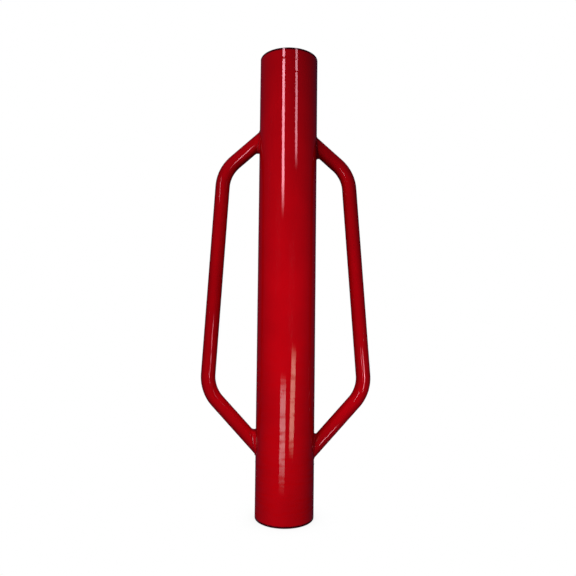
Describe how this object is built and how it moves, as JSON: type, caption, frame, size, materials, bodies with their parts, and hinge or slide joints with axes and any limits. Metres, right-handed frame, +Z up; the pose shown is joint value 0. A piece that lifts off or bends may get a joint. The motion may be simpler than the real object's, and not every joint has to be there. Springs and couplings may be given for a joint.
{
  "type": "post driver",
  "caption": "Manual post driver: a red enamelled steel tube, closed at the top by a heavy plug, with bent bar handles welded to its sides.",
  "frame": {"origin": "centre of the barrel's open mouth, on the face that the tool stands on", "axes": "+Z up the barrel from the open mouth to the closed end; +X through the right handle as seen with +Y pointing away, so both handles lie in the XZ plane; +Y completes the right-handed frame"},
  "size_m": [0.2214, 0.076, 0.6],
  "materials": {
    "red_enamel": "gloss",
    "bare_steel": "matte"
  },
  "bodies": {
    "root": {"barrel": "red_enamel", "strike_plug": "bare_steel", "plug_weld": "red_enamel", "left_handle": "red_enamel", "right_handle": "red_enamel", "left_upper_weld": "red_enamel", "left_lower_weld": "red_enamel", "right_upper_weld": "red_enamel", "right_lower_weld": "red_enamel"}
  },
  "joints": []
}
